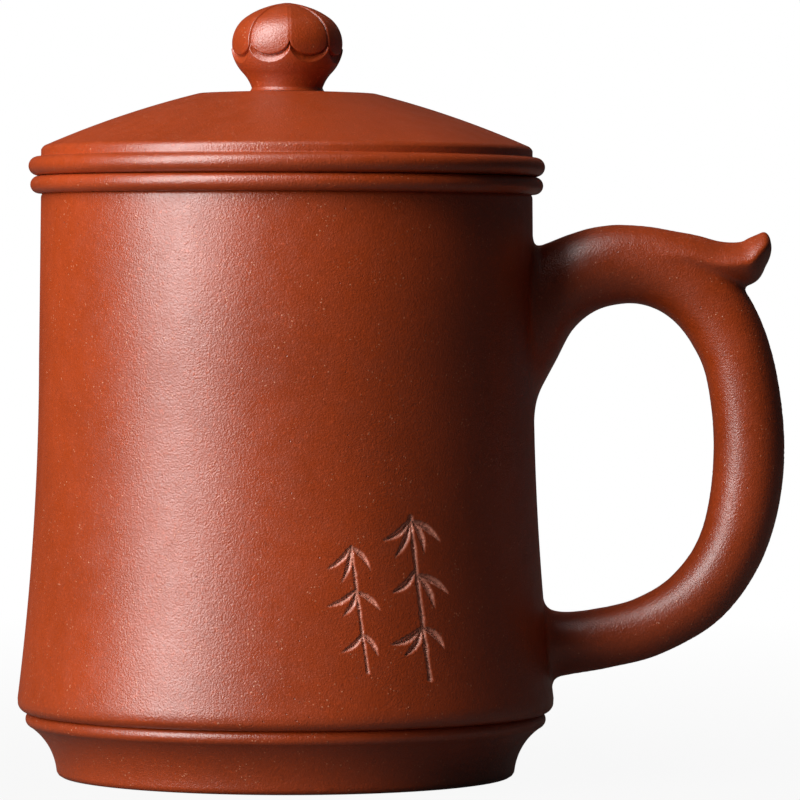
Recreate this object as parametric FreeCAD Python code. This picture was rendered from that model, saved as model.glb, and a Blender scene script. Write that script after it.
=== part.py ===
"""Lidded tea mug with a hanging infuser, in unglazed red clay.

Three pieces stack on one upright axis and come apart by lifting. The mug is a flared cylinder wall
on a coved base, with a loop handle that ends in an upturned thumb spur. The infuser is a tapered
tube with a pierced bowl for a bottom, hung from a bead that rests on the mug's lip. The lid is a low
dome with a matching bead, a locating ring that drops into the infuser, and a bud-shaped knob with
eight carved petals. Clay pieces that a potter forms apart and lutes together are separate solids.

Millimetres, +Z up. The origin is on the surface the mug stands on, under the mug's axis, and the
handle points along +X.
"""

import FreeCAD, Part
import math
import os

from FreeCAD import Vector

# Mug wall
LIP_Z = 98.0
LIP_R = 41.2
WAIST_SWELL = 0.3
WAIST_Z = 70.0
SKIRT_FLARE = 3.8
SKIRT_Z = 13.1
WALL = 4.1
SKIRT_WALL = 4.8
SKIRT_ROUND = 1.5
LIP_ROUND = 1.1

# Mug base, with its cove and the recess under it
BASE_TOP_Z = 10.8
BASE_LIP_SETBACK = 1.3
BASE_LIP_H = 1.0
FOOT_SETBACK = 6.5
FOOT_COVE_SAG = 0.9
FLOOR_Z = 8.0
FLOOR_CORNER = 2.5
RECESS_H = 2.8
FOOT_RING_W = 4.5
FOOT_ROUND = 1.0

# Beads that close the mouth, the lower one on the infuser and the upper one on the lid
INFUSER_BEAD_H = 3.0
INFUSER_BEAD_OVERHANG = 1.8
LID_BEAD_H = 3.2
LID_BEAD_OVERHANG = 2.1

# Infuser
INFUSER_GAP = 0.9
INFUSER_WALL = 2.9
INFUSER_DRAFT = 1.7
INFUSER_DEPTH = 68.0
STRAINER_CORNER = 6.5
STRAINER_FLOOR = 3.0
HOLE_R = 1.0
HOLE_PITCH = 5.0
HOLE_MARGIN = 4.0

# Lid
LID_RING_GAP = 0.8
LID_RING_WALL = 3.2
LID_RING_H = 7.5
LID_STEP_SETBACK = 2.1
LID_STEP_H = 1.2
LID_SHOULDER_SETBACK = 1.0
LID_SHOULDER_RISE = 0.8
LID_CROWN_R = 15.0
LID_CROWN_RISE = 0.25
LID_DOME_H = 13.8
LID_SLOPE_SAG = 0.95
LID_THICK = 4.3

# Knob on the lid
KNOB_R = 9.45
KNOB_EQUATOR_H = 8.0
KNOB_CAP_H = 6.85
KNOB_SIDE_ROUND = 5.6
KNOB_TURN = 3.7
KNOB_NECK_R = 5.95
KNOB_NECK_H = 0.6
KNOB_COLLAR_R = 6.3
KNOB_BOWL_FOOT_R = 7.45
KNOB_BOWL_FOOT_H = 3.1
PETALS = 8
PETAL_GROOVE = 0.5
PETAL_DROP = 2.3
PETAL_BANK = 0.75
PETAL_SHARE = 0.93

# Loop handle: points on its outer line, points on its inner line, and its width there. Each point is
# given by how far it stands out from the wall's waist and by its height above the table.
HANDLE_STATIONS = [
    ((-4.5, 86.6), (-4.0, 57.4), 17.0),
    ((-0.9, 88.3), (-0.3, 63.0), 15.8),
    ((2.5, 89.6), (2.7, 68.6), 14.6),
    ((6.1, 91.0), (5.8, 74.5), 13.6),
    ((10.3, 92.2), (10.1, 78.1), 12.9),
    ((15.5, 92.5), (15.5, 79.4), 12.5),
    ((23.1, 91.0), (19.9, 78.7), 12.3),
    ((30.1, 87.3), (23.7, 76.3), 12.1),
    ((36.1, 80.6), (26.8, 72.2), 11.9),
    ((40.1, 70.9), (29.0, 66.8), 11.7),
    ((42.1, 58.0), (30.2, 57.0), 11.5),
    ((41.4, 46.0), (29.6, 47.0), 11.3),
    ((37.9, 35.2), (27.4, 39.2), 10.9),
    ((31.3, 26.3), (22.9, 33.3), 10.4),
    ((21.7, 20.6), (17.1, 29.8), 9.9),
    ((12.9, 18.2), (10.9, 28.2), 9.9),
    ((5.0, 16.8), (4.7, 27.6), 10.6),
    ((-0.7, 15.3), (-0.7, 29.0), 12.4),
]

# Thumb spur that runs on from the handle's top: upper line, lower line, and width
SPUR_STATIONS = [
    ((18.0, 92.0), (18.0, 84.5), 11.4),
    ((25.0, 91.0), (24.8, 83.4), 11.6),
    ((31.1, 89.9), (30.9, 82.2), 11.4),
    ((34.7, 90.0), (36.4, 82.5), 10.6),
    ((36.8, 90.5), (38.8, 85.4), 9.0),
    ((38.1, 90.9), (39.5, 87.8), 6.6),
    ((38.8, 91.0), (39.5, 89.8), 3.4),
]

# How far the handle's ends run on into the wall before they are trimmed to it
HANDLE_ROOT_RUN = 15.0

# Places worked out from the sizes above
WAIST_R = LIP_R + WAIST_SWELL
SKIRT_R = LIP_R + SKIRT_FLARE
BASE_LIP_R = SKIRT_R - BASE_LIP_SETBACK
FOOT_R = SKIRT_R - FOOT_SETBACK
RECESS_R = FOOT_R - FOOT_RING_W
INFUSER_BEAD_R = LIP_R + INFUSER_BEAD_OVERHANG
LID_BEAD_R = LIP_R + LID_BEAD_OVERHANG
LID_STEP_R = LID_BEAD_R - LID_STEP_SETBACK
LID_SHOULDER_R = LID_STEP_R - LID_SHOULDER_SETBACK
INFUSER_TOP_Z = LIP_Z + INFUSER_BEAD_H
LID_BEAD_TOP_Z = INFUSER_TOP_Z + LID_BEAD_H
LID_STEP_TOP_Z = LID_BEAD_TOP_Z + LID_STEP_H
MOUTH_R = LIP_R - WALL
SKIRT_INNER_R = SKIRT_R - SKIRT_WALL
INFUSER_R = MOUTH_R - INFUSER_GAP
INFUSER_MOUTH_R = INFUSER_R - INFUSER_WALL
INFUSER_FOOT_R = INFUSER_R - INFUSER_DRAFT
INFUSER_BOTTOM_Z = INFUSER_TOP_Z - INFUSER_DEPTH
STRAINER_TOP_Z = INFUSER_BOTTOM_Z + STRAINER_CORNER
STRAINER_R = INFUSER_FOOT_R - STRAINER_CORNER
LID_RING_R = INFUSER_MOUTH_R - LID_RING_GAP
LID_RING_INNER_R = LID_RING_R - LID_RING_WALL
LID_TOP_Z = INFUSER_TOP_Z + LID_DOME_H
LID_CROWN_Z = LID_TOP_Z - LID_CROWN_RISE
KNOB_CENTRE_Z = LID_TOP_Z + KNOB_EQUATOR_H


def at(r, z):
    """A point of a turned profile, in the XZ plane."""
    return Vector(r, 0, z)


def line(a, b):
    return Part.LineSegment(at(*a), at(*b)).toShape()


def arc(a, middle, b):
    return Part.Arc(at(*a), at(*middle), at(*b)).toShape()


def bowed(a, b, sag):
    """An arc from a to b whose middle stands sag to the left of the straight line, seen from a."""
    dx, dz = b[0] - a[0], b[1] - a[1]
    length = math.hypot(dx, dz)
    middle = ((a[0] + b[0]) / 2 - dz / length * sag, (a[1] + b[1]) / 2 + dx / length * sag)
    return arc(a, middle, b)


def domed(rim_r, rim_z, top_z):
    """An arc from a rim to the axis that meets the axis square, so that it turns into a true cap."""
    rise = top_z - rim_z
    sphere_r = (rim_r**2 + rise**2) / (2 * rise)
    half_turn = math.asin(rim_r / sphere_r) / 2
    middle = (sphere_r * math.sin(half_turn), top_z - sphere_r * (1 - math.cos(half_turn)))
    return arc((rim_r, rim_z), middle, (0, top_z))


def turned(edges):
    """The solid that a closed half profile sweeps round the Z axis."""
    face = Part.Face(Part.Wire(Part.__sortEdges__(edges)))
    return face.revolve(Vector(0, 0, 0), Vector(0, 0, 1), 360).Solids[0]


def path(*points):
    """Straight edges through the points."""
    return [line(a, b) for a, b in zip(points, points[1:])]


def round_rings(solid, rings):
    """Fillets the circular edges of a turned solid, each given as (radius, height, fillet)."""
    for r, z, fillet in rings:
        edges = [
            e
            for e in solid.Edges
            if isinstance(e.Curve, Part.Circle)
            and abs(e.Curve.Radius - r) < 0.01
            and abs(e.Curve.Center.z - z) < 0.01
            and abs(e.Curve.Center.x) < 0.01
        ]
        solid = solid.makeFillet(fillet, edges)
    return solid


def flare(inner, up):
    """The wall's curved side between the waist and the skirt, on its outer or its inner face."""
    waist = (WAIST_R - (WALL if inner else 0), WAIST_Z)
    skirt = (SKIRT_INNER_R, BASE_TOP_Z) if inner else (SKIRT_R, SKIRT_Z)
    # The curve leaves the waist upright, so its bow is a quarter of its sideways reach
    sag = (skirt[0] - waist[0]) / 4
    return bowed(waist, skirt, -sag) if up else bowed(skirt, waist, sag)


def mug_outer():
    """The outer side of the wall, from its foot on the base up to the lip."""
    foot = (SKIRT_R - SKIRT_ROUND, BASE_TOP_Z)
    return [
        bowed(foot, (SKIRT_R, SKIRT_Z), -SKIRT_ROUND / 3),
        flare(inner=False, up=False),
        line((WAIST_R, WAIST_Z), (LIP_R, LIP_Z)),
    ]


def mug_wall():
    """The flared tube that stands on the base and carries the infuser on its lip."""
    mouth, waist_inner = (MOUTH_R, LIP_Z), (WAIST_R - WALL, WAIST_Z)
    edges = mug_outer()
    edges.append(line((LIP_R, LIP_Z), mouth))
    edges.append(line(mouth, waist_inner))
    edges.append(flare(inner=True, up=True))
    edges.append(line((SKIRT_INNER_R, BASE_TOP_Z), (SKIRT_R - SKIRT_ROUND, BASE_TOP_Z)))
    return round_rings(turned(edges), [(LIP_R, LIP_Z, LIP_ROUND), (MOUTH_R, LIP_Z, LIP_ROUND)])


def mug_body_filled():
    """The wall without its bore, which trims the handle's ends."""
    axis_foot, axis_top = (0, BASE_TOP_Z), (0, LIP_Z)
    edges = mug_outer() + path((LIP_R, LIP_Z), axis_top, axis_foot, (SKIRT_R - SKIRT_ROUND, BASE_TOP_Z))
    return turned(edges)


def mug_base():
    """The coved base under the wall: its floor is dished inside and recessed underneath."""
    land_r = BASE_LIP_R - BASE_LIP_H / 2
    lip_foot = (land_r, BASE_TOP_Z - BASE_LIP_H)
    edges = [
        arc(lip_foot, (BASE_LIP_R, BASE_TOP_Z - BASE_LIP_H / 2), (land_r, BASE_TOP_Z)),
        bowed((FOOT_R, FOOT_ROUND), lip_foot, FOOT_COVE_SAG),
    ]
    dish_r = SKIRT_INNER_R - FLOOR_CORNER
    bend = FLOOR_CORNER * (1 - math.sqrt(0.5))
    fall = BASE_TOP_Z - FLOOR_Z
    edges += [
        line((land_r, BASE_TOP_Z), (SKIRT_INNER_R, BASE_TOP_Z)),
        arc(
            (SKIRT_INNER_R, BASE_TOP_Z),
            (SKIRT_INNER_R - bend, BASE_TOP_Z - fall * math.sqrt(0.5)),
            (dish_r, FLOOR_Z),
        ),
    ]
    edges += path(
        (dish_r, FLOOR_Z),
        (0, FLOOR_Z),
        (0, RECESS_H),
        (RECESS_R, RECESS_H),
        (RECESS_R, 0),
        (FOOT_R, 0),
        (FOOT_R, FOOT_ROUND),
    )
    rings = [(FOOT_R, 0, FOOT_ROUND * 0.9), (RECESS_R, 0, FOOT_ROUND * 0.7), (RECESS_R, RECESS_H, FOOT_ROUND)]
    return round_rings(turned(edges), rings)


def oval(upper, lower, width):
    """An ellipse that spans two points beside the wall's waist and is as wide as asked along Y."""
    waist = Vector(WAIST_R, 0, 0)
    top, bottom = waist + at(*upper), waist + at(*lower)
    centre = (top + bottom) * 0.5
    side = centre + Vector(0, width / 2, 0)
    in_plane = (top - centre).Length
    curve = Part.Ellipse(top, side, centre) if in_plane >= width / 2 else Part.Ellipse(side, top, centre)
    return Part.Wire(curve.toShape())


def handle():
    """The loop and its thumb spur in one moulded piece, trimmed to the wall that it is luted to."""
    loop_rings = [oval(*s) for s in HANDLE_STATIONS]
    loop = Part.makeLoft(loop_rings, True, False)
    spur = Part.makeLoft([oval(*s) for s in SPUR_STATIONS], True, False)
    ends = [Part.Face(ring) for ring in (loop_rings[0], loop_rings[-1])]
    roots = [end.extrude(Vector(-HANDLE_ROOT_RUN, 0, 0)) for end in ends]
    return loop.fuse([spur, *roots]).cut(mug_body_filled()).Solids[0]


def bead(r, z, height, inner_r):
    """A ring with flat faces and a half-round rim."""
    land_r = r - height / 2
    edges = path((land_r, z), (inner_r, z), (inner_r, z + height), (land_r, z + height))
    edges.append(arc((land_r, z), (r, z + height / 2), (land_r, z + height)))
    return turned(edges)


def infuser_rim():
    """The bead that hangs the infuser on the mug's lip and carries the lid."""
    return bead(INFUSER_BEAD_R, LIP_Z, INFUSER_BEAD_H, INFUSER_MOUTH_R)


def infuser_wall():
    """The tapered tube between the rim and the strainer."""
    foot_inner_r = INFUSER_FOOT_R - INFUSER_WALL
    corners = [
        (INFUSER_R, LIP_Z),
        (INFUSER_MOUTH_R, LIP_Z),
        (foot_inner_r, STRAINER_TOP_Z),
        (INFUSER_FOOT_R, STRAINER_TOP_Z),
    ]
    return turned(path(*corners, corners[0]))


def infuser_heel():
    """The ring that turns the tube's foot inwards, round outside and in, and holds the strainer."""
    inner_corner = STRAINER_CORNER - STRAINER_FLOOR
    inner_z = INFUSER_BOTTOM_Z + STRAINER_FLOOR
    wall_inner_r = INFUSER_FOOT_R - INFUSER_WALL
    diagonal = math.sqrt(0.5)
    edges = [
        arc(
            (STRAINER_R, INFUSER_BOTTOM_Z),
            (STRAINER_R + STRAINER_CORNER * diagonal, STRAINER_TOP_Z - STRAINER_CORNER * diagonal),
            (INFUSER_FOOT_R, STRAINER_TOP_Z),
        ),
        line((INFUSER_FOOT_R, STRAINER_TOP_Z), (wall_inner_r, STRAINER_TOP_Z)),
        arc(
            (wall_inner_r, STRAINER_TOP_Z),
            (wall_inner_r - inner_corner * (1 - diagonal), inner_z + inner_corner * (1 - diagonal)),
            (wall_inner_r - inner_corner, inner_z),
        ),
    ]
    inner_foot = (wall_inner_r - inner_corner, inner_z)
    edges += path(inner_foot, (STRAINER_R, inner_z), (STRAINER_R, INFUSER_BOTTOM_Z))
    return turned(edges)


def infuser_strainer():
    """The flat disc luted into the heel, pierced with rings of round holes."""
    disc = Part.makeCylinder(STRAINER_R, STRAINER_FLOOR, Vector(0, 0, INFUSER_BOTTOM_Z))
    return disc.cut(strainer_holes()).Solids[0]


def strainer_holes():
    """Rings of six, twelve, eighteen and so on round one middle hole."""
    below = INFUSER_BOTTOM_Z - 1
    length = STRAINER_FLOOR + 2
    outermost = STRAINER_R - HOLE_MARGIN
    holes = []
    for ring in range(int(outermost // HOLE_PITCH) + 1):
        count = max(1, 6 * ring)
        for i in range(count):
            turn = 2 * math.pi * i / count
            place = Vector(math.cos(turn), math.sin(turn), 0) * (HOLE_PITCH * ring) + Vector(0, 0, below)
            holes.append(Part.makeCylinder(HOLE_R, length, place))
    return Part.makeCompound(holes)


def dome_line(offset):
    """The lid's slope, from the shoulder to the crown, moved straight down by the offset."""
    shoulder = (LID_SHOULDER_R, LID_STEP_TOP_Z + LID_SHOULDER_RISE - offset)
    crown = (LID_CROWN_R, LID_CROWN_Z - offset)
    return shoulder, crown


def slope_height(r, offset):
    """The height of the slope's underside at radius r, by the straight line between its ends."""
    shoulder, crown = dome_line(offset)
    share = (shoulder[0] - r) / (shoulder[0] - crown[0])
    return shoulder[1] + share * (crown[1] - shoulder[1])


def lid_cover():
    """The dome with its bead and step, hollowed under the middle."""
    land_r = LID_BEAD_R - LID_BEAD_H / 2
    shoulder, crown = dome_line(0)
    under_crown = dome_line(LID_THICK)[1]
    hollow_side = (LID_RING_INNER_R, slope_height(LID_RING_INNER_R, LID_THICK))
    seat_z, middle_z = INFUSER_TOP_Z, LID_TOP_Z - LID_THICK
    edges = [
        arc(
            (land_r, seat_z),
            (LID_BEAD_R, seat_z + LID_BEAD_H / 2),
            (land_r, LID_BEAD_TOP_Z),
        ),
        line((land_r, LID_BEAD_TOP_Z), (LID_STEP_R, LID_BEAD_TOP_Z)),
        line((LID_STEP_R, LID_BEAD_TOP_Z), (LID_STEP_R, LID_STEP_TOP_Z)),
        bowed((LID_STEP_R, LID_STEP_TOP_Z), shoulder, -0.12),
        bowed(shoulder, crown, -LID_SLOPE_SAG),
        domed(*crown, LID_TOP_Z),
        line((0, LID_TOP_Z), (0, middle_z)),
        domed(*under_crown, middle_z),
        bowed(under_crown, hollow_side, LID_SLOPE_SAG / 2),
        line(hollow_side, (LID_RING_INNER_R, seat_z)),
        line((LID_RING_INNER_R, seat_z), (land_r, seat_z)),
    ]
    return turned(edges)


def lid_locating_ring():
    """The short collar under the lid that keeps it centred in the infuser's mouth."""
    foot_z = INFUSER_TOP_Z - LID_RING_H
    corners = [
        (LID_RING_R, INFUSER_TOP_Z),
        (LID_RING_INNER_R, INFUSER_TOP_Z),
        (LID_RING_INNER_R, foot_z),
        (LID_RING_R, foot_z),
    ]
    ring = turned(path(*corners, corners[0]))
    return round_rings(ring, [(LID_RING_R, foot_z, 1.0), (LID_RING_INNER_R, foot_z, 1.0)])


def bud_cap(shrink):
    """The knob's upper half: a tight arc round the side runs smoothly into a flatter one on top."""
    side_x = KNOB_R - KNOB_SIDE_ROUND
    top_round = (side_x**2 + KNOB_CAP_H**2 - KNOB_SIDE_ROUND**2) / (2 * (KNOB_CAP_H - KNOB_SIDE_ROUND))
    lean = math.asin(side_x / (top_round - KNOB_SIDE_ROUND))
    side_r = KNOB_SIDE_ROUND - shrink
    half_way = (math.pi / 2 + lean) / 2

    def on_side(turn):
        return side_x + side_r * math.sin(turn), KNOB_CENTRE_Z + side_r * math.cos(turn)

    return [
        arc(on_side(math.pi / 2), on_side(half_way), on_side(lean)),
        domed(*on_side(lean), KNOB_CENTRE_Z + KNOB_CAP_H - shrink),
    ]


def bud(shrink):
    """The knob's turned body: a flattened cap over a round bowl that hollows into the neck."""
    collar = (KNOB_COLLAR_R, LID_TOP_Z)
    neck = (KNOB_NECK_R, LID_TOP_Z + KNOB_NECK_H)
    bowl_foot = (KNOB_BOWL_FOOT_R, LID_TOP_Z + KNOB_BOWL_FOOT_H)
    side = (KNOB_R - shrink, KNOB_CENTRE_Z)
    top = (0, KNOB_CENTRE_Z + KNOB_CAP_H - shrink)
    # The bowl's arc starts upright at the knob's widest place, and the hollow takes it on below
    bulge = (side[0] - bowl_foot[0]) / 4
    edges = bud_cap(shrink)
    edges += [
        bowed(side, bowl_foot, bulge),
        bowed(bowl_foot, neck, -bulge * 0.32),
        bowed(neck, collar, -bulge * 0.1),
    ]
    edges += path(collar, (0, LID_TOP_Z), top)
    return turned(edges)


def petal_prism(grow):
    """One petal's egg-shaped outline run outwards from the axis, grown all round by the given gap."""
    half = KNOB_R * math.sin(math.pi / PETALS) * PETAL_SHARE + grow
    drop, rise = PETAL_DROP + grow, KNOB_CAP_H * 1.02
    left, right = Vector(0, -half, KNOB_CENTRE_Z), Vector(0, half, KNOB_CENTRE_Z)
    top, bottom = Vector(0, 0, KNOB_CENTRE_Z + rise), Vector(0, 0, KNOB_CENTRE_Z - drop)
    centre = Vector(0, 0, KNOB_CENTRE_Z)
    upper = Part.Ellipse(top, right, centre)
    lower = Part.Ellipse(right, bottom, centre) if half > drop else Part.Ellipse(bottom, right, centre)
    halves = [half_above(upper, left, right, top), half_above(lower, left, right, bottom)]
    face = Part.Face(Part.Wire(Part.__sortEdges__(halves)))
    return face.extrude(Vector(KNOB_R + 2, 0, 0))


def half_above(ellipse, left, right, through):
    """The half of the ellipse that joins left to right by way of the third point."""
    a, b = ellipse.parameter(left), ellipse.parameter(right)
    for first, last in ((a, b), (b, a)):
        half = Part.ArcOfEllipse(ellipse, first, last)
        middle = half.value((half.FirstParameter + half.LastParameter) / 2)
        if (middle - through).Length < 0.01:
            return half.toShape()
    raise ValueError("the ellipse misses the point")


def lid_knob():
    """The bud, with a groove cut round each of its petals."""
    body = bud(0)
    skin = body.cut(bud(PETAL_GROOVE))
    turns = [KNOB_TURN + 360 * (i + 0.5) / PETALS for i in range(PETALS)]
    grown = [petal_prism(PETAL_BANK).rotate(Vector(), Vector(0, 0, 1), t) for t in turns]
    petals = [petal_prism(0).rotate(Vector(), Vector(0, 0, 1), t) for t in turns]
    channels = skin.common(grown[0].fuse(grown[1:])).cut(petals)
    return body.cut(channels).Solids[0]


SUB_PARTS = [
    mug_wall,
    mug_base,
    handle,
    infuser_rim,
    infuser_wall,
    infuser_heel,
    infuser_strainer,
    lid_cover,
    lid_locating_ring,
    lid_knob,
]


def main():
    os.makedirs("parts", exist_ok=True)
    for make in SUB_PARTS:
        solid = make()
        solid.exportStep(f"parts/{make.__name__}.step")
        print(f"{make.__name__}: {solid.Volume / 1000:.2f} cm3, valid {solid.isValid()}")


main()
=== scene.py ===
import math

import bpy
import numpy as np
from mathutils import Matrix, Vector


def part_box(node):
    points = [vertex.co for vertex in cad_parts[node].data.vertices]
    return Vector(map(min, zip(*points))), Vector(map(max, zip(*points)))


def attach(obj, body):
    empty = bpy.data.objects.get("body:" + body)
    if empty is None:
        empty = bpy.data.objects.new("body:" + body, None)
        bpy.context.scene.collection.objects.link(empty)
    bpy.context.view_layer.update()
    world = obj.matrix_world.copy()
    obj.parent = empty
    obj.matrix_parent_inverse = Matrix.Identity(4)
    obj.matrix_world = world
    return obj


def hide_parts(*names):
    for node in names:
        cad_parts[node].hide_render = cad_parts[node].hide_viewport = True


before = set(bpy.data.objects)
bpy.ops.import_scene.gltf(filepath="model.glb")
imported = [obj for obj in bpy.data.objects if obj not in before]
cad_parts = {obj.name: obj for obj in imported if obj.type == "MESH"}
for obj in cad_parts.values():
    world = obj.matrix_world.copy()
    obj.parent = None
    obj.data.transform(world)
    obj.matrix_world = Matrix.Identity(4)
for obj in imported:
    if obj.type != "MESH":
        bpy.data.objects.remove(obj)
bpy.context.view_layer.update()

import openvdb
from mathutils import Matrix, Vector

# A lidded tea mug with infuser, in unglazed red clay.
# Shapes are in millimetres until they become meshes, with +X towards the handle and the
# photograph taken from -Y. Camera, lamps and stage are in metres.

MM = 0.001
SAME_POINT = 1e-4

# Sizes that the CAD model shares are read from the boxes of its pieces
WALL_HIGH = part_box("mug_wall")[1] / MM
BASE_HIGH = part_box("mug_base")[1] / MM
RIM_LOW, RIM_HIGH = (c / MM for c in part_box("infuser_rim"))
COVER_LOW, COVER_HIGH = (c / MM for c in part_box("lid_cover"))
KNOB_LOW, KNOB_HIGH = (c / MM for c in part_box("lid_knob"))

SKIRT_R, LIP_Z = WALL_HIGH.x, WALL_HIGH.z
BASE_LIP_R, BASE_TOP_Z = BASE_HIGH.x, BASE_HIGH.z
LIP_R, WAIST_R, WAIST_Z, SKIRT_Z = 41.2, 41.5, 70.0, 13.1
WALL_THICK, SKIRT_THICK, LIP_ROUND = 4.1, 4.8, 1.1
FLARE_BOW = (SKIRT_R - WAIST_R) / 4

# The photograph shows the infuser's bead and the lid a little lower than the CAD model seats them
SEAT_DROP = 0.42
BEAD_SEAT_Z, LID_SEAT_Z = RIM_LOW.z - SEAT_DROP, COVER_LOW.z - SEAT_DROP


# Profiles: lists of (radius, height)


def bow(a, b, sag, steps=8):
    """Points of an arc from a to b whose middle stands sag to the left of the straight line."""
    a, b = np.array(a, float), np.array(b, float)
    chord = b - a
    length = np.hypot(*chord)
    along = chord / length
    left = np.array([-chord[1], chord[0]]) / length
    side = math.copysign(1, sag)
    radius = (length**2 / 4 + sag**2) / (2 * abs(sag))
    centre = (a + b) / 2 - left * side * (radius - abs(sag))
    half = math.asin(min(1, length / (2 * radius)))
    if abs(sag) > length / 2:
        half = math.pi - half
    turns = np.linspace(-half, half, steps + 1)
    points = [centre + radius * (along * math.sin(t) + left * side * math.cos(t)) for t in turns]
    return [tuple(p) for p in points]


def corner(before, point, after, radius, steps=4):
    """A rounded corner of a profile, tangent to both of its straight sides."""
    point = np.array(point, float)
    back = np.array(before, float) - point
    on = np.array(after, float) - point
    back, on = back / np.hypot(*back), on / np.hypot(*on)
    half = math.acos(np.clip(back @ on, -1, 1)) / 2
    reach = radius / math.tan(half)
    start, end = point + back * reach, point + on * reach
    centre = point + (back + on) / np.hypot(*(back + on)) * radius / math.sin(half)
    rays = []
    for t in np.linspace(0, 1, steps + 1):
        ray = (start - centre) * (1 - t) + (end - centre) * t
        rays.append(tuple(centre + ray / np.hypot(*ray) * radius))
    return rays


def joined(*stretches):
    """One profile from several, without doubled points."""
    points = []
    for stretch in stretches:
        for p in stretch:
            if not points or math.dist(points[-1], p) > SAME_POINT:
                points.append((float(p[0]), float(p[1])))
    return points


def refined(profile, longest):
    """The profile with its long straight runs divided."""
    points = [profile[0]]
    for a, b in zip(profile, profile[1:]):
        count = max(1, math.ceil(math.dist(a, b) / longest))
        run = np.array(b) - np.array(a)
        points += [tuple(np.array(a) + run * i / count) for i in range(1, count + 1)]
    return points


def cap_points(rim_r, rim_z, top_z, steps=6):
    """Points of a round cap from its rim to just off the axis."""
    near_axis = 0.0005
    rise = top_z - rim_z
    radius = (rim_r**2 + rise**2) / (2 * rise)
    turns = np.linspace(math.asin(rim_r / radius), near_axis, steps)
    return [(radius * math.sin(t), top_z - radius * (1 - math.cos(t))) for t in turns]


# Meshes


def mesh_piece(name, points, faces, body):
    """A smooth-shaded piece from points in millimetres and quads, riding on a body."""
    mesh = bpy.data.meshes.new(name)
    places = (np.asarray(points, float) * MM).tolist()
    mesh.from_pydata(places, [], [list(map(int, f)) for f in faces])
    mesh.validate()
    mesh.shade_smooth()
    piece = bpy.data.objects.new(name, mesh)
    bpy.context.scene.collection.objects.link(piece)
    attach(piece, body)
    return piece


def lathe_grid(profile, turns):
    """Points and quads of a profile swept round the Z axis at the given turns from +X."""
    profile = np.array(profile)
    closed = np.hypot(*(profile[0] - profile[-1])) < SAME_POINT
    rows = profile[:-1] if closed else profile
    r, z = rows[:, 0][:, None], rows[:, 1][:, None]
    x, y = r * np.cos(turns)[None, :], r * np.sin(turns)[None, :]
    points = np.stack([x, y, np.broadcast_to(z, x.shape)], axis=-1)
    n_rows, n_turns = len(rows), len(turns)
    i = np.arange(n_rows if closed else n_rows - 1)[:, None]
    j = np.arange(n_turns)[None, :]
    low, high = i * n_turns, (i + 1) % n_rows * n_turns
    j_next = (j + 1) % n_turns
    quads = np.stack([low + j, high + j, high + j_next, low + j_next], axis=-1)
    return points, quads.reshape(-1, 4)


def even_turns(count):
    """Turns of a whole circle, evenly spaced."""
    return np.arange(count) * 2 * math.pi / count


def lathe(name, profile, body, count=256):
    """A plain turned piece."""
    points, quads = lathe_grid(profile, even_turns(count))
    return mesh_piece(name, points.reshape(-1, 3), quads[:, ::-1], body)


# Mug wall

WALL_FOOT_IN, WALL_FOOT_BOW = 2.1, 0.5
WALL_EDGE_IN, WALL_EDGE_H = 0.05, 1.35

# The patch of the wall that carries the sprig, which is meshed finely
CARVE_TURN = math.radians(-90 + 21.5)
CARVE_LOW_Z, CARVE_MIDDLE_Z, CARVE_HIGH_Z = 17.0, 32.0, 47.5
CARVE_HALF_WIDTH, CARVE_STEP, CARVE_MARGIN = 15.5, 0.13, 0.3
COARSE_TURNS = 260
CARVE_DEPTH, CARVE_SLOPE = 0.6, 0.95
# The depth at which a cut is lightened in full: partly freshly cut clay, partly painted light
CUT_LIGHTENING_DEPTH, OUTER_SKIN = 0.25, 0.5
CRUMBLE, CRUMBLE_SEED, GRAIN_GAIN = 0.09, 11, 1.8

LEAF_ROOT_SHARE, LEAF_FULLNESS, LEAF_TIP_WIDTH = 0.12, 0.7, 0.12
JOINT_START, JOINT_END = 0.05, 0.93
JOINT_WAIST, JOINT_SWELL = 0.82, 0.28


def skirt_line():
    """The wall's outline from the skirt's widest place up to the waist."""
    return bow((SKIRT_R, SKIRT_Z), (WAIST_R, WAIST_Z), FLARE_BOW, 60)


def wall_radius(z):
    """The wall's outer radius at a height, below the lip's round."""
    outer = np.array(skirt_line() + [(LIP_R, LIP_Z)])
    return np.interp(np.asarray(z, float), outer[:, 1], outer[:, 0])


def wall_profile():
    """The wall's outline from its foot up the outside and down the inside, closed."""
    foot = (SKIRT_R - WALL_FOOT_IN, BASE_TOP_Z)
    edge = (SKIRT_R - WALL_EDGE_IN, BASE_TOP_Z + WALL_EDGE_H)
    lip, mouth = (LIP_R, LIP_Z), (LIP_R - WALL_THICK, LIP_Z)
    waist_inner = (WAIST_R - WALL_THICK, WAIST_Z)
    skirt_inner = (SKIRT_R - SKIRT_THICK, BASE_TOP_Z)
    patch_low, patch_high = CARVE_LOW_Z - CARVE_MARGIN, CARVE_HIGH_Z + CARVE_MARGIN
    plain = [p for p in skirt_line() if not patch_low < p[1] < patch_high]
    heights = np.arange(CARVE_LOW_Z, CARVE_HIGH_Z, CARVE_STEP)
    patch = [(float(wall_radius(z)), float(z)) for z in heights]
    return joined(
        bow(foot, edge, -WALL_FOOT_BOW, 10),
        sorted(plain + patch, key=lambda p: p[1]),
        corner((WAIST_R, WAIST_Z), lip, mouth, LIP_ROUND),
        corner(lip, mouth, waist_inner, LIP_ROUND),
        bow(waist_inner, skirt_inner, -(skirt_inner[0] - waist_inner[0]) / 4, 24),
        [foot],
    )


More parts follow.
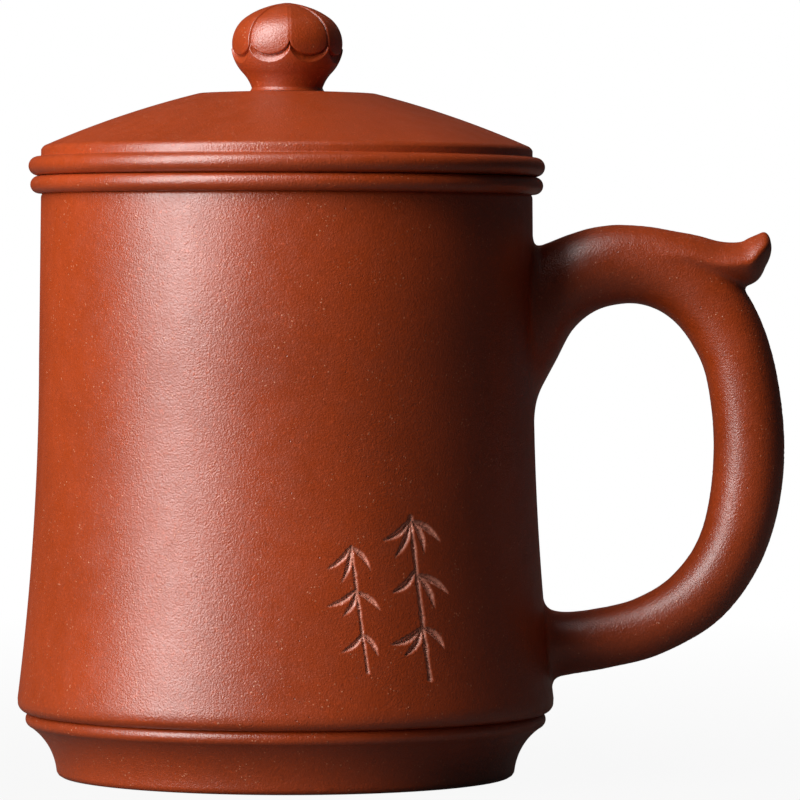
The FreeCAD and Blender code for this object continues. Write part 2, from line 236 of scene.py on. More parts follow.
def leaf(root, length, lean, width=1.35, bend=0.6):
    """A leaf stroke from its root, leaning from straight down by so many degrees."""
    t = np.linspace(0, 1, 9)
    turn = math.radians(lean)
    across = length * t * math.sin(turn) + bend * np.sin(math.pi * t) * math.cos(turn)
    down = -length * t * math.cos(turn) + bend * np.sin(math.pi * t) * math.sin(turn)
    swell = np.clip(LEAF_ROOT_SHARE + (1 - LEAF_ROOT_SHARE) * t, 0, 1)
    widths = width * np.sin(math.pi * swell) ** LEAF_FULLNESS
    return np.stack([root[0] + across, root[1] + down, np.maximum(widths, LEAF_TIP_WIDTH)], axis=1)


def stalk(foot, top, joints, width):
    """A cane of straight joints with short gaps between them, each a little wider at its ends."""
    foot, top = np.array(foot, float), np.array(top, float)
    t = np.linspace(0, 1, 7)[:, None]
    widths = width * (JOINT_WAIST + JOINT_SWELL * (2 * t - 1) ** 4)
    strokes = []
    for i in range(joints):
        a = foot + (top - foot) * (i + JOINT_START) / joints
        b = foot + (top - foot) * (i + JOINT_END) / joints
        strokes.append(np.hstack([a + (b - a) * t, widths]))
    return strokes


def sprig_strokes():
    """The carved sprig of two canes: each stroke is rows of across, height and width."""
    strokes = stalk((8.6, 18.6), (6.1, 45.2), 5, 1.05)
    strokes += stalk((-2.2, 20.0), (-4.6, 40.6), 4, 0.75)
    tall = [
        ((6.2, 44.6), 6.2, -58), ((6.2, 44.6), 7.0, -28),
        ((6.4, 44.4), 5.8, 22), ((6.4, 44.2), 6.6, 58),
        ((7.0, 35.6), 6.4, 30), ((7.0, 35.6), 7.2, 62), ((6.6, 36.2), 5.4, -52),
        ((7.9, 27.0), 5.2, 48), ((7.7, 27.2), 5.8, -38), ((7.7, 27.2), 6.6, -66),
    ]
    low = [
        ((-4.6, 40.4), 5.4, -48), ((-4.6, 40.4), 6.0, -16), ((-4.4, 40.2), 4.8, 40),
        ((-3.9, 33.4), 5.6, -62), ((-3.8, 33.2), 4.6, -30), ((-3.6, 33.0), 4.8, 52),
        ((-2.9, 26.4), 4.6, -50), ((-2.8, 26.2), 4.2, 34),
    ]
    strokes += [leaf(root, length, lean) for root, length, lean in tall]
    strokes += [leaf(root, length, lean, 1.05, 0.45) for root, length, lean in low]
    return strokes


def grain(shape, seed):
    """Soft random unevenness about nought, with a grain of about two steps."""
    noise = np.random.default_rng(seed).uniform(-1, 1, shape)
    for axis in (0, 1):
        noise = (np.roll(noise, 1, axis) + 2 * noise + np.roll(noise, -1, axis)) / 4
    return noise * GRAIN_GAIN


def carving_depth(across, height):
    """How deep the cut is at each point: V-shaped strokes with crumbled edges."""
    nowhere_near = -9.0
    inside = np.full(across.shape, nowhere_near)
    for stroke in sprig_strokes():
        for a, b in zip(stroke, stroke[1:]):
            run = b[:2] - a[:2]
            t = ((across - a[0]) * run[0] + (height - a[1]) * run[1]) / (run @ run)
            t = np.clip(t, 0, 1)
            away = np.hypot(across - a[0] - run[0] * t, height - a[1] - run[1] * t)
            inside = np.maximum(inside, (a[2] + (b[2] - a[2]) * t) / 2 - away)
    inside += CRUMBLE * grain(across.shape, CRUMBLE_SEED)
    return np.clip(inside * CARVE_SLOPE, 0, CARVE_DEPTH)


def mug_wall():
    """The wall with the sprig cut into its mesh, and how far each cut is lightened, kept for the
    material: partly freshly cut clay, partly painted light.
    """
    patch_r = float(wall_radius(CARVE_MIDDLE_Z))
    half = CARVE_HALF_WIDTH / patch_r
    fine = np.arange(CARVE_TURN - half, CARVE_TURN + half, CARVE_STEP / patch_r)
    coarse = np.linspace(CARVE_TURN + half, CARVE_TURN - half + 2 * math.pi, COARSE_TURNS)
    turns = np.concatenate([fine, coarse[:-1]])
    points, quads = lathe_grid(wall_profile(), turns)
    r, z = np.hypot(points[..., 0], points[..., 1]), points[..., 2]
    from_middle = (turns[None, :] - CARVE_TURN + math.pi) % (2 * math.pi) - math.pi
    across = from_middle * patch_r * np.ones_like(z)
    in_patch = (np.abs(across) < CARVE_HALF_WIDTH) & (z > CARVE_LOW_Z) & (z < CARVE_HIGH_Z)
    in_patch &= r > wall_radius(z) - OUTER_SKIN
    depth = np.where(in_patch, carving_depth(across, z), 0)
    points[..., :2] *= ((r - depth) / r)[..., None]
    piece = mesh_piece("wall_carved", points.reshape(-1, 3), quads[:, ::-1], "mug")
    # The cut's lightening: partly freshly cut clay, partly painted light for the banks that face
    # the key lamp
    cut = piece.data.attributes.new("cut", "FLOAT", "POINT")
    cut_lightening = np.clip(depth.reshape(-1) / CUT_LIGHTENING_DEPTH, 0, 1)
    cut.data.foreach_set("value", cut_lightening.astype(np.float32))
    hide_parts("mug_wall")
    return piece


# Mug base, infuser rim and lid cover

BASE_LIP_H, BASE_LIP_BULGE, COVE_BOW = 2.4, 0.8, 0.9
FOOT_R, FOOT_ROUND = 38.5, 1.1
RECESS_R, RECESS_H, RECESS_EDGE, RECESS_ROUND = 34.0, 2.8, 0.7, 1.0
FLOOR_Z, FLOOR_EDGE, FLOOR_BOW = 8.0, 2.5, 0.8
AXIS_R = 0.01

# The infuser's bead stays a hair below the lid, so that the two meshes share no plane
INFUSER_BEAD_R, INFUSER_BEAD_H, INFUSER_MOUTH_R = RIM_HIGH.x, 2.96, 33.3

LID_BEAD_R, LID_BEAD_H = COVER_HIGH.x, 3.2
LID_STEP_R, LID_STEP_H, LID_STEP_FILLET, LID_STEP_EDGE, LID_STEP_BOW = 41.2, 1.2, 0.25, 0.1, 0.16
LID_SHOULDER_R, LID_SHOULDER_RISE, LID_SLOPE_SAG = 40.2, 0.8, 0.55
LID_CROWN_R, LID_CROWN_Z, LID_TOP_Z = 15.0, 114.4, KNOB_LOW.z
LID_THICK, LID_HOLLOW_R, LID_HOLLOW_BOW = 4.3, 29.3, 0.48


def base_profile():
    """The base from the mug's floor out to its lip, down the coved foot and into the recess."""
    land_r = BASE_LIP_R - BASE_LIP_BULGE
    lip_foot = (land_r, BASE_TOP_Z - BASE_LIP_H)
    inner_r = SKIRT_R - SKIRT_THICK
    floor_end = (inner_r - FLOOR_EDGE, FLOOR_Z)
    ground, step, ceiling = (RECESS_R, 0), (RECESS_R, RECESS_H), (AXIS_R, RECESS_H)
    return joined(
        [(AXIS_R, FLOOR_Z), floor_end],
        bow(floor_end, (inner_r, BASE_TOP_Z), -FLOOR_BOW, 6),
        bow((land_r, BASE_TOP_Z), lip_foot, BASE_LIP_BULGE, 12),
        bow(lip_foot, (FOOT_R, FOOT_ROUND), -COVE_BOW, 16),
        corner((FOOT_R, FOOT_ROUND), (FOOT_R, 0), ground, FOOT_ROUND),
        corner((FOOT_R, 0), ground, step, RECESS_EDGE),
        corner(ground, step, ceiling, RECESS_ROUND),
        [ceiling],
    )


def bead_profile(r, z, height, inner_r):
    """A flat ring with a half-round outer edge, closed."""
    land_r = r - height / 2
    side = bow((land_r, z), (land_r, z + height), -height / 2, 14)
    return joined(side, [(inner_r, z + height)], [(inner_r, z)], [side[0]])


def cover_profile():
    """The cover from its bead over step, slope and crown, and back along the hollow, closed."""
    bead_top = LID_SEAT_Z + LID_BEAD_H
    step_top = bead_top + LID_STEP_H
    land_r, step_foot = LID_BEAD_R - LID_BEAD_H / 2, (LID_STEP_R, bead_top)
    shoulder, crown = (LID_SHOULDER_R, step_top + LID_SHOULDER_RISE), (LID_CROWN_R, LID_CROWN_Z)
    under_crown = (LID_CROWN_R, LID_CROWN_Z - LID_THICK)
    slope_z = np.interp(LID_HOLLOW_R, [crown[0], shoulder[0]], [crown[1], shoulder[1]])
    hollow = (LID_HOLLOW_R, float(slope_z - LID_THICK))
    return joined(
        bow((land_r, LID_SEAT_Z), (land_r, bead_top), -LID_BEAD_H / 2, 14),
        corner((land_r, bead_top), step_foot, (LID_STEP_R, step_top), LID_STEP_FILLET, 3),
        bow((LID_STEP_R, step_top - LID_STEP_EDGE), shoulder, -LID_STEP_BOW, 5),
        bow(shoulder, crown, -LID_SLOPE_SAG, 30),
        cap_points(*crown, LID_TOP_Z),
        list(reversed(cap_points(*under_crown, LID_TOP_Z - LID_THICK))),
        bow(under_crown, hollow, LID_HOLLOW_BOW, 12),
        [(LID_HOLLOW_R, LID_SEAT_Z)],
        [(land_r, LID_SEAT_Z)],
    )


# Knob with its carved petals

KNOB_R, KNOB_SIDE_R = 9.45, 5.6
KNOB_TOP_Z, KNOB_EQUATOR_Z = KNOB_HIGH.z, LID_TOP_Z + 8.0
COLLAR_BOW, NECK_BOW, BOWL_BOW = 0.05, 0.16, 0.5
KNOB_STEP, KNOB_TURNS, POLE_R = 0.12, 640, 0.004

PETALS, PETAL_TURN = 8, math.radians(3.7)
PETAL_CUSP_Z, PETAL_DROP, FACET_SHARE = 0.35, 2.75, 0.5
SEAM_DEPTHS = (0.30, 0.34, 0.26, 0.38, 0.32, 0.42, 0.07, 0.44)
SEAM_HALF_WIDTH, SEAM_POWER, SEAM_FADE_R, SEAM_FADE_RUN = 0.34, 1.3, 0.6, 3.0
BELLY_SHARE, BELLY_WIDTH = 0.5, 2.6
UNDERCUT_DEPTH, BANK_WIDTH = 0.66, 0.95
ROLL_SHARE, ROLL_WIDTH, ROLL_POWER = 0.8, 0.5, 2.4


def knob_line():
    """The bud's outline from the lid up to the pole, as arcs."""
    side_x, cap_h = KNOB_R - KNOB_SIDE_R, KNOB_TOP_Z - KNOB_EQUATOR_Z
    top_r = (side_x**2 + cap_h**2 - KNOB_SIDE_R**2) / (2 * (cap_h - KNOB_SIDE_R))
    lean = math.asin(side_x / (top_r - KNOB_SIDE_R))
    side = [
        (side_x + KNOB_SIDE_R * math.sin(t), KNOB_EQUATOR_Z + KNOB_SIDE_R * math.cos(t))
        for t in np.linspace(math.pi / 2, lean, 50)
    ]
    collar, neck, bowl_foot = (6.3, LID_TOP_Z), (5.95, LID_TOP_Z + 0.6), (7.45, LID_TOP_Z + 3.1)
    return joined(
        bow(collar, neck, COLLAR_BOW, 6),
        bow(neck, bowl_foot, NECK_BOW, 16),
        bow(bowl_foot, (KNOB_R, KNOB_EQUATOR_Z), -BOWL_BOW, 60),
        side,
        cap_points(*side[-1], KNOB_TOP_Z, 40),
    )


def petal_cut(turn, height, radius):
    """How deep the knob is cut: seams between petals and a bank under each petal's edge."""
    share = 2 * math.pi / PETALS
    from_seam = (turn - PETAL_TURN) % (2 * math.pi)
    from_middle = from_seam % share - share / 2
    seam_depth = np.array(SEAM_DEPTHS)[np.round(from_seam / share).astype(int) % PETALS]
    to_seam = (share / 2 - np.abs(from_middle)) * np.maximum(radius, 0.01)
    x = np.clip(np.abs(from_middle) / (share / 2), 0, 1)
    edge_z = KNOB_EQUATOR_Z + PETAL_CUSP_Z - PETAL_DROP * np.sqrt(np.clip(1 - x**2, 0, 1))
    below = edge_z - height
    fade = np.clip((radius - SEAM_FADE_R) / SEAM_FADE_RUN, 0, 1)
    seam = seam_depth * np.clip(1 - to_seam / SEAM_HALF_WIDTH, 0, 1) ** SEAM_POWER
    belly = BELLY_SHARE * seam_depth * np.clip(1 - to_seam / BELLY_WIDTH, 0, 1) ** 2
    facet = FACET_SHARE * radius * (1 - math.cos(share / 2) / np.cos(from_middle))
    roll = ROLL_SHARE * UNDERCUT_DEPTH * np.clip(1 + below / ROLL_WIDTH, 0, 1) ** ROLL_POWER
    bank = (UNDERCUT_DEPTH + facet) * np.clip(1 - below / BANK_WIDTH, 0, 1)
    return np.where(below < 0, facet + np.maximum((seam + belly) * fade, roll), bank)


def lid_knob():
    """The knob, with every point moved in along the outline's normal by the depth of the cut."""
    profile = refined(knob_line(), KNOB_STEP)
    turns = even_turns(KNOB_TURNS)
    points, quads = lathe_grid(profile, turns)
    r, z = np.hypot(points[..., 0], points[..., 1]), points[..., 2]
    cut = petal_cut(turns[None, :] * np.ones_like(r), z, r)
    run = np.gradient(np.array(profile), axis=0)
    normal = np.stack([run[:, 1], -run[:, 0]], axis=1)
    normal /= np.hypot(*normal.T)[:, None]
    moved_r = np.maximum(r - cut * normal[:, 0][:, None], POLE_R)
    points[..., :2] *= (moved_r / r)[..., None]
    points[..., 2] = z - cut * normal[:, 1][:, None]
    piece = mesh_piece("knob_petals", points.reshape(-1, 3), quads[:, ::-1], "lid")
    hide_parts("lid_knob")
    return piece


# Handle: loop and spur as one soft body, blended into the wall.
# A station is an oval section: its upper and lower point in the XZ plane, and its width.

LOOP = [
    ((37.0, 86.6), (37.5, 57.4), 17.0),
    ((40.6, 88.3), (41.2, 63.0), 15.8),
    ((44.0, 89.6), (44.2, 68.6), 14.6),
    ((47.6, 91.0), (47.3, 74.5), 13.6),
    ((51.8, 92.2), (51.6, 78.1), 12.9),
    ((57.0, 92.6), (57.0, 79.4), 12.5),
    ((64.6, 91.5), (61.4, 78.7), 12.3),
    ((71.6, 87.3), (65.2, 76.3), 12.1),
    ((77.6, 80.6), (68.3, 72.2), 11.9),
    ((81.6, 70.9), (70.5, 66.8), 11.7),
    ((83.6, 58.0), (71.7, 57.0), 11.5),
    ((82.9, 46.0), (71.1, 47.0), 11.3),
    ((79.4, 35.2), (68.9, 39.2), 10.9),
    ((72.8, 26.3), (64.4, 33.3), 10.4),
    ((63.2, 20.6), (58.6, 29.8), 9.9),
    ((54.4, 18.2), (52.4, 28.2), 9.9),
    ((46.5, 16.8), (46.2, 27.6), 10.6),
    ((40.8, 15.3), (40.8, 29.0), 12.4),
]
SPUR = [
    ((58.5, 90.2), (58.5, 84.5), 9.6),
    ((66.5, 91.2), (66.3, 83.4), 11.4),
    ((72.6, 89.9), (72.4, 82.2), 11.4),
    ((76.0, 89.8), (77.8, 82.6), 10.6),
    ((77.8, 90.6), (79.6, 84.9), 9.2),
    ((79.2, 91.2), (80.6, 87.0), 7.2),
    ((79.8, 91.5), (80.8, 89.0), 4.4),
]
STATION_STEPS = 14
LOOP_POWER, SPUR_POWER = 2.0, 1.4
SLICE, SLICE_SHARE = 2.2, 0.6
VOXEL, FIELD_FAR, FIELD_MARGIN = 0.4, 12.0, 5
GRID_LOW, GRID_HIGH = (37.6, -11.0, 10.0), (85.2, 11.0, 97.0)
SPUR_BLEND, ROOT_BLEND = 1.3, 1.8
SKIN_DEPTH, ROOT_DEPTH, SKIRT_REACH = 0.04, 1.2, 2.3


def through(rows, steps):
    """A smooth curve through rows of numbers, by cubic pieces between each pair."""
    rows = np.array(rows, float)
    padded = np.vstack([2 * rows[0] - rows[1], rows, 2 * rows[-1] - rows[-2]])
    samples = []
    for p0, p1, p2, p3 in zip(padded, padded[1:], padded[2:], padded[3:]):
        for t in np.arange(steps) / steps:
            square = 2 * p0 - 5 * p1 + 4 * p2 - p3
            cube = 3 * p1 - p0 - 3 * p2 + p3
            samples.append(0.5 * (2 * p1 + (p2 - p0) * t + square * t**2 + cube * t**3))
    samples.append(rows[-1])
    return np.array(samples)


def swept_field(axes, stations, power):
    """Distance to a body swept through its stations, negative inside, on a grid of three axes."""
    field = np.full([len(a) for a in axes], FIELD_FAR, np.float32)
    rows = [(*upper, *lower, width) for upper, lower, width in stations]
    for ux, uz, lx, lz, width in through(rows, STATION_STEPS):
        middle = ((ux + lx) / 2, 0, (uz + lz) / 2)
        tall, wide = math.hypot(ux - lx, uz - lz) / 2, width / 2
        thick = min(SLICE, SLICE_SHARE * tall)
        up_x, up_z = (ux - lx) / (2 * tall), (uz - lz) / (2 * tall)
        reach = max(tall, wide) + FIELD_MARGIN
        spans = tuple(
            slice(*np.searchsorted(a, (c - reach, c + reach))) for a, c in zip(axes, middle)
        )
        near = [a[span] - c for a, span, c in zip(axes, spans, middle)]
        x, y, z = np.meshgrid(*near, indexing="ij", sparse=True)
        u = np.abs(x * up_x + z * up_z) / tall
        v = np.abs(y) / wide
        s = (x * up_z - z * up_x) / thick
        ring = np.maximum(u**power + v**power, 1e-6)
        size = np.sqrt(ring ** (2 / power) + s**2)
        pull = ring ** (2 / power - 1) / size
        slope_u, slope_v = pull * u ** (power - 1) / tall, pull * v ** (power - 1) / wide
        slope = np.sqrt(slope_u**2 + slope_v**2 + (s / (thick * size)) ** 2)
        view = field[spans]
        np.minimum(view, (size - 1) / np.maximum(slope, 1 / (tall + wide)), out=view)
    return field


def soft_union(a, b, reach):
    """The lesser of two distances, with the crease between them filled over the given reach."""
    h = np.maximum(reach - np.abs(a - b), 0) / reach
    return np.minimum(a, b) - h * h * reach / 4


def handle():
    """Loop and spur, with the patch of the wall's skin that they run into."""
    axes = [np.arange(low, high, VOXEL) for low, high in zip(GRID_LOW, GRID_HIGH)]
    loop = swept_field(axes, LOOP, LOOP_POWER)
    spur = swept_field(axes, SPUR, SPUR_POWER)
    x, y, z = np.meshgrid(*axes, indexing="ij", sparse=True)
    outward = np.hypot(x, y) - wall_radius(z)
    body = soft_union(loop, spur, SPUR_BLEND)
    body = soft_union(body, outward + SKIN_DEPTH, ROOT_BLEND)
    body = np.maximum(body, -(outward + ROOT_DEPTH))
    body = np.maximum(body, np.minimum(loop, spur) - SKIRT_REACH)
    grid = openvdb.FloatGrid(FIELD_FAR)
    grid.copyFromArray(np.ascontiguousarray(body, dtype=np.float32))
    points, quads = grid.convertToQuads()
    points = np.asarray(points, float) * VOXEL + GRID_LOW
    piece = mesh_piece("handle_loop", points, np.asarray(quads)[:, ::-1], "mug")
    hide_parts("handle")
    return piece


# Nodes of materials and of the world

# Where a Mix node keeps its two colours and its mixed colour
MIX_A, MIX_B, MIX_RESULT = 6, 7, 2


class Tree:
    """Adds nodes to the tree of a material or a world."""

    def __init__(self, owner):
        owner.use_nodes = True
        self.nodes, self.links = owner.node_tree.nodes, owner.node_tree.links

    def feed(self, socket, value):
        """Sets a socket to a number or a colour, or links another socket to it."""
        if isinstance(value, tuple):
            socket.default_value = (*value, 1)
        elif isinstance(value, (int, float)):
            socket.default_value = value
        else:
            self.links.new(value, socket)

    def maths(self, operation, *values):
        """The result of a Math node on numbers or sockets."""
        node = self.nodes.new("ShaderNodeMath")
        node.operation = operation
        for socket, value in zip(node.inputs, values):
            self.feed(socket, value)
        return node.outputs["Value"]

    def ramp(self, value, low, high):
        """A value mapped evenly from one pair of (from, to) to another, and held past them."""
        node = self.nodes.new("ShaderNodeMapRange")
        node.inputs["From Min"].default_value, node.inputs["To Min"].default_value = low
        node.inputs["From Max"].default_value, node.inputs["To Max"].default_value = high
        self.links.new(value, node.inputs["Value"])
        return node.outputs["Result"]

    def mixed(self, factor, a, b):
        """A colour between a and b."""
        node = self.nodes.new("ShaderNodeMix")
        node.data_type = "RGBA"
        self.feed(node.inputs["Factor"], factor)
        self.feed(node.inputs[MIX_A], a)
        self.feed(node.inputs[MIX_B], b)
        return node.outputs[MIX_RESULT]

    def texture(self, kind, output, **inputs):
        """A texture's output, placed by the object's own coordinates, with its inputs set."""
        node = self.nodes.new(kind)
        for name, value in inputs.items():
            node.inputs[name].default_value = value
        place = self.nodes.new("ShaderNodeTexCoord").outputs["Object"]
        self.links.new(place, node.inputs["Vector"])
        return node.outputs[output]

    def noise(self, scale, detail=2.0, roughness=0.5):
        """Soft noise between nought and one."""
        kind = "ShaderNodeTexNoise"
        return self.texture(kind, "Fac", Scale=scale, Detail=detail, Roughness=roughness)

    def speckle(self, scale, size, soft, patches, ends):
        """Round spots in patches: up to a share of one on a spot, and nought elsewhere."""
        to_spot = self.texture("ShaderNodeTexVoronoi", "Distance", Scale=scale)
        spots = self.ramp(to_spot, (size, 1.0), (size + soft, 0.0))
        return self.maths("MULTIPLY", spots, self.ramp(self.noise(patches, 1), *ends))


def shade(colour, gain, lift=0.0):
    """A colour made lighter or darker."""
    return tuple(c * gain + lift for c in colour)


# Clay: a sandy tone, light grit, dark pits and a satin surface from burnishing.
# Scales of noise are in waves per metre, a ramp's ends are pairs of (from, to), and clouds, sand
# and pits are shades of the clay's colour, each a gain and a lift.

CLAY = (0.34, 0.041, 0.0035)
BURNISHED_ROUGH, INSIDE_ROUGH, INSIDE_SHADE = 0.36, 0.62, 0.95
ROUGH_SCALE, ROUGH_DOWN, ROUGH_UP = 320, 0.04, 0.05
SPECULAR = 0.98
CLOUD_SCALE, LIGHT_SAND_SCALE, DARK_SAND_SCALE, SAND_ROUGHNESS = 38, 1700, 1400, 0.7
DARK_CLOUD, LIGHT_CLOUD = (0.84, 0.0), (1.12, 0.001)
DARK_SAND, LIGHT_SAND, PIT_SHADE = (0.6, 0.0), (1.6, 0.006), (0.35, 0.0)
GRIT = dict(scale=1300, size=0.11, soft=0.10, patches=330, ends=((0.51, 0), (0.65, 0.75)))
PITS = dict(scale=700, size=0.05, soft=0.07, patches=260, ends=((0.52, 0), (0.62, 0.6)))
GRIT_COLOUR = (0.66, 0.25, 0.13)
FINE_SCALE, BROAD_SCALE = 3400, 1500
FINE_SHARE, BROAD_SHARE, PIT_SHARE, GRIT_SHARE = 0.8, 0.35, 0.9, 0.35
BUMP_STRENGTH, BUMP_HEIGHT = 0.55, 0.00017
RING_SCALE, RING_WANDER, RING_SHARE = 180, 1.2, 0.5
# Cuts are painted lighter: partly the colour of freshly cut clay, partly painted light for the
# banks that face the key lamp
CUT_COLOURS_WITH_PAINTED_LIGHT, CUT_SCALE, CUT_LIGHTENING_COVER = ((0.80, 0.24, 0.15), (1.0, 0.46, 0.33)), 1800, 0.88
CRUMB_SCALE, CRUMB_SHARE = 1500, 2.5


def clay_tone(tree, colour, grit, pits):
    """The clay's colour: soft clouds, lighter and darker sand, grit and pits."""
    clouds = tree.ramp(tree.noise(CLOUD_SCALE, 3), (0.3, 0), (0.7, 1))
    light = tree.ramp(tree.noise(LIGHT_SAND_SCALE, 3, SAND_ROUGHNESS), (0.55, 0), (0.75, 0.7))
    dark = tree.ramp(tree.noise(DARK_SAND_SCALE, 3, SAND_ROUGHNESS), (0.25, 0.6), (0.45, 0))
    tone = tree.mixed(clouds, shade(colour, *DARK_CLOUD), shade(colour, *LIGHT_CLOUD))
    tone = tree.mixed(light, tone, shade(colour, *LIGHT_SAND))
    tone = tree.mixed(dark, tone, shade(colour, *DARK_SAND))
    tone = tree.mixed(grit, tone, GRIT_COLOUR)
    return tree.mixed(pits, tone, shade(colour, *PIT_SHADE))


def clay(name, colour, rough, carved=False, rings=False):
    """Unglazed fine clay, with cuts lightened where the mesh is carved, partly freshly cut clay and
    partly painted light, or rings from throwing.
    """
    material = bpy.data.materials.new(name)
    tree = Tree(material)
    shader = tree.nodes["Principled BSDF"]
    grit, pits = tree.speckle(**GRIT), tree.speckle(**PITS)
    tone = clay_tone(tree, colour, grit, pits)
    relief = [
        (tree.noise(FINE_SCALE), FINE_SHARE),
        (tree.noise(BROAD_SCALE), BROAD_SHARE),
        (pits, -PIT_SHARE),
        (grit, GRIT_SHARE),
    ]
    if rings:
        wave = tree.texture("ShaderNodeTexWave", "Fac", Scale=RING_SCALE, Distortion=RING_WANDER)
        wave.node.bands_direction = "Z"
        relief.append((wave, RING_SHARE))
    if carved:
        cut = tree.nodes.new("ShaderNodeAttribute")
        cut.attribute_name = "cut"
        # Lighter colour in the cuts, partly freshly cut clay and partly painted light
        lightened_cut = tree.mixed(tree.noise(CUT_SCALE), *CUT_COLOURS_WITH_PAINTED_LIGHT)
        tone = tree.mixed(tree.maths("MULTIPLY", cut.outputs["Fac"], CUT_LIGHTENING_COVER), tone, lightened_cut)
        crumb_noise = tree.noise(CRUMB_SCALE, 3, SAND_ROUGHNESS)
        crumbs = tree.maths("MULTIPLY", cut.outputs["Fac"], crumb_noise)
        relief.append((crumbs, CRUMB_SHARE))
    height = 0.0
    for part, share in relief:
        height = tree.maths("ADD", height, tree.maths("MULTIPLY", part, share))
    bump = tree.nodes.new("ShaderNodeBump")
    bump.inputs["Strength"].default_value = BUMP_STRENGTH
    bump.inputs["Distance"].default_value = BUMP_HEIGHT
    smoother, rougher = (0.3, rough - ROUGH_DOWN), (0.7, rough + ROUGH_UP)
    uneven = tree.ramp(tree.noise(ROUGH_SCALE, 3), smoother, rougher)
    tree.feed(bump.inputs["Height"], height)
    tree.feed(shader.inputs["Base Color"], tone)
    tree.feed(shader.inputs["Roughness"], uneven)
    tree.feed(shader.inputs["Specular IOR Level"], SPECULAR)
    tree.feed(shader.inputs["Normal"], bump.outputs["Normal"])
    return material


def dress(piece, material):
    """Gives a piece of this script its clay."""
    piece.data.materials.clear()
    piece.data.materials.append(material)


def redress(node, material):
    """Gives a CAD node that stays in view its clay."""
    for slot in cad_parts[node].material_slots:
        slot.material = material


# Stage, in metres

# The share of the white background in the clay's gloss: no metal or glass shows it in full
GLOSS_SHARE = 0.02
FLOOR_REACH, FLOOR_COLOUR, FLOOR_ROUGH = 40.0, (0.10, 0.08, 0.07), 0.9
# The floor is a little short of white near the mug, a painted grey shade that fades to white
# further out; the mug's faint shadow shows within it
FLOOR_WHITE, NEAR, FAR = 0.93, 0.05, 0.45
AIR_COLOUR, AIR_STRENGTH = (1, 0.9, 0.82), 0.01
LAMP_AIM = Vector((0, 0, 0.06))

# Camera of the photograph
EYE = Vector((0.01906, -0.95, 0.084))
AIM = Vector((0.01906, 0, 0.0631))
FIELD_WIDTH, SENSOR_WIDTH = 0.13435, 36
ROLL = math.radians(0.15)
CLIP_NEAR, CLIP_FAR = 0.05, 20


def white_for_camera(tree, plain, kind, share):
    """Mixes a shader with the white that the camera sees and that the gloss shows dimly."""
    path = tree.nodes.new("ShaderNodeLightPath").outputs
    direct = tree.maths("MAXIMUM", path["Is Camera Ray"], path["Is Transmission Ray"])
    seen = tree.maths("MULTIPLY_ADD", path["Is Glossy Ray"], GLOSS_SHARE, direct)
    white = tree.nodes.new(kind)
    tree.feed(white.inputs["Color"], (1.0, 1.0, 1.0))
    mix = tree.nodes.new("ShaderNodeMixShader")
    tree.feed(mix.inputs["Fac"], tree.maths("MULTIPLY", seen, share))
    tree.feed(mix.inputs[1], plain)
    tree.feed(mix.inputs[2], white.outputs[0])
    return mix.outputs[0]


def lay_floor():
    """A plain floor, painted a little grey near the mug as shade, that keeps the mug's faint
    shadow.
    """
    far = FLOOR_REACH
    corners = [(-far, -far, 0), (far, -far, 0), (far, far, 0), (-far, far, 0)]
    mesh = bpy.data.meshes.new("floor")
    mesh.from_pydata(corners, [], [(0, 1, 2, 3)])
    floor = bpy.data.objects.new("floor", mesh)
    bpy.context.scene.collection.objects.link(floor)
    material = bpy.data.materials.new("floor")
    tree = Tree(material)
    shader = tree.nodes["Principled BSDF"]
    tree.feed(shader.inputs["Base Color"], FLOOR_COLOUR)
    tree.feed(shader.inputs["Roughness"], FLOOR_ROUGH)
    tree.feed(shader.inputs["Specular IOR Level"], 0.0)
    away = tree.nodes.new("ShaderNodeVectorMath")
    away.operation = "LENGTH"
    tree.feed(away.inputs[0], tree.nodes.new("ShaderNodeNewGeometry").outputs["Position"])
    # Painted shade: less white near the mug, full white from FAR out
    share = tree.ramp(away.outputs["Value"], (NEAR, FLOOR_WHITE), (FAR, 1.0))
    seen = white_for_camera(tree, shader.outputs[0], "ShaderNodeEmission", share)
    tree.feed(tree.nodes["Material Output"].inputs["Surface"], seen)
    mesh.materials.append(material)


def hang_studio():
    """Faint warm light from all round, and white for the camera."""
    world = bpy.data.worlds.new("studio")
    bpy.context.scene.world = world
    tree = Tree(world)
    air = tree.nodes["Background"]
    tree.feed(air.inputs["Color"], AIR_COLOUR)
    tree.feed(air.inputs["Strength"], AIR_STRENGTH)
    seen = white_for_camera(tree, air.outputs[0], "ShaderNodeBackground", 1.0)
    tree.feed(tree.nodes["World Output"].inputs["Surface"], seen)


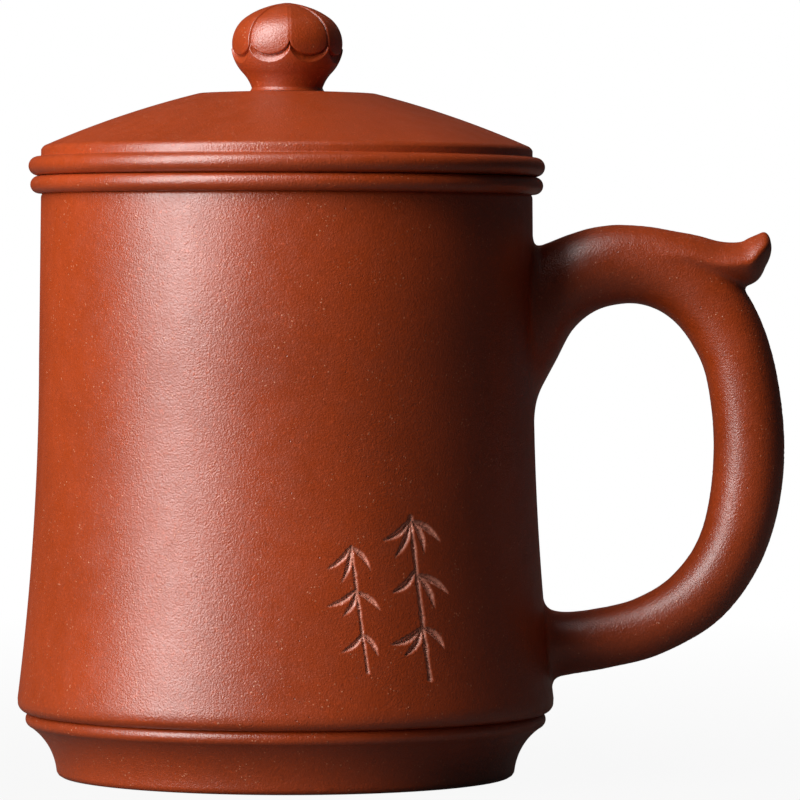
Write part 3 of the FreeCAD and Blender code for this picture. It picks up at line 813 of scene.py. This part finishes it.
def softbox(name, azimuth, elevation, distance, size, power, glossy=True):
    """A rectangular lamp at so many degrees left of the camera's side and above the floor."""
    lamp = bpy.data.lights.new(name, "AREA")
    lamp.shape = "RECTANGLE"
    lamp.size, lamp.size_y = size
    lamp.energy = power
    box = bpy.data.objects.new(name, lamp)
    turn, lift = math.radians(-90 - azimuth), math.radians(elevation)
    level = math.cos(lift)
    away = Vector((math.cos(turn) * level, math.sin(turn) * level, math.sin(lift)))
    box.location = LAMP_AIM + away * distance
    box.rotation_euler = away.to_track_quat("Z", "Y").to_euler()
    box.visible_camera = False
    box.visible_glossy = glossy
    bpy.context.scene.collection.objects.link(box)


def camera():
    """The photograph's camera, with its slight roll."""
    lens = bpy.data.cameras.new("camera")
    eye = bpy.data.objects.new("camera", lens)
    bpy.context.scene.collection.objects.link(eye)
    lens.sensor_width = SENSOR_WIDTH
    lens.lens = SENSOR_WIDTH * (EYE - AIM).length / FIELD_WIDTH
    lens.clip_start, lens.clip_end = CLIP_NEAR, CLIP_FAR
    look = (EYE - AIM).to_track_quat("Z", "Y").to_matrix().to_4x4()
    eye.matrix_world = Matrix.Translation(EYE) @ look @ Matrix.Rotation(ROLL, 4, "Z")
    bpy.context.scene.camera = eye


# The scene

camera()
lay_floor()
hang_studio()
softbox("key", azimuth=50, elevation=30, distance=0.85, size=(0.50, 1.10), power=15.0)
softbox("top", azimuth=40, elevation=75, distance=0.9, size=(0.5, 0.4), power=0.8)
# The back lamp is for views from behind. It is kept off gloss, where it would flare along the dome.
softbox("back", azimuth=190, elevation=28, distance=0.9, size=(0.5, 0.6), power=3.0, glossy=False)

outer_clay = clay("clay_burnished", CLAY, BURNISHED_ROUGH)
carved_clay = clay("clay_carved", CLAY, BURNISHED_ROUGH, carved=True)
inner_clay = clay("clay_inside", shade(CLAY, INSIDE_SHADE), INSIDE_ROUGH, rings=True)

dress(mug_wall(), carved_clay)
base = lathe("base_foot", base_profile(), "mug")
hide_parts("mug_base")
bead = bead_profile(INFUSER_BEAD_R, BEAD_SEAT_Z, INFUSER_BEAD_H, INFUSER_MOUTH_R)
rim = lathe("rim_bead", bead, "infuser")
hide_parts("infuser_rim")
cover = lathe("lid_dome", cover_profile(), "lid")
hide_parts("lid_cover")
for piece in (base, rim, cover, lid_knob(), handle()):
    dress(piece, outer_clay)
for node in ("infuser_wall", "infuser_heel", "infuser_strainer", "lid_locating_ring"):
    redress(node, inner_clay)

bpy.context.scene.view_settings.view_transform = "Standard"
bpy.context.view_layer.update()
